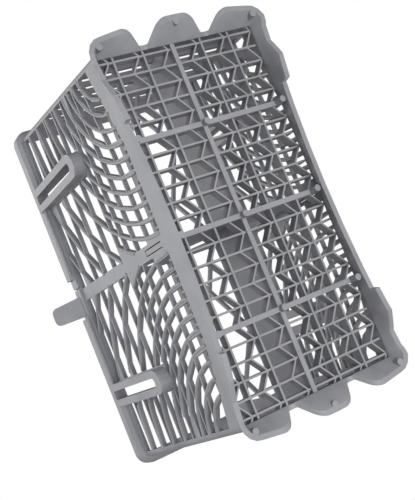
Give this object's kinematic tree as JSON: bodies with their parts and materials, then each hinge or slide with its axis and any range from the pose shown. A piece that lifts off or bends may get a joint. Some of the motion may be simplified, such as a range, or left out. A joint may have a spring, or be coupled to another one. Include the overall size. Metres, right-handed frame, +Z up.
{
  "type": "dishwasher cutlery basket",
  "caption": "Open-topped cutlery basket moulded in grey plastic: curved-rib lattice walls, zigzag floor grid on a flared skirt, rim lip with tabs, hanging loops and crossed dividers inside.",
  "frame": {"origin": "middle of the basket's plan, on the plane its feet stand on", "axes": "+X along the basket, +Y across it, away from the long wall seen in the picture, +Z up through the open top"},
  "size_m": [0.254, 0.1618, 0.1782],
  "materials": {
    "grey_plastic": "satin moulded"
  },
  "bodies": {
    "root": {"cutlery_basket": "grey_plastic"}
  },
  "joints": []
}
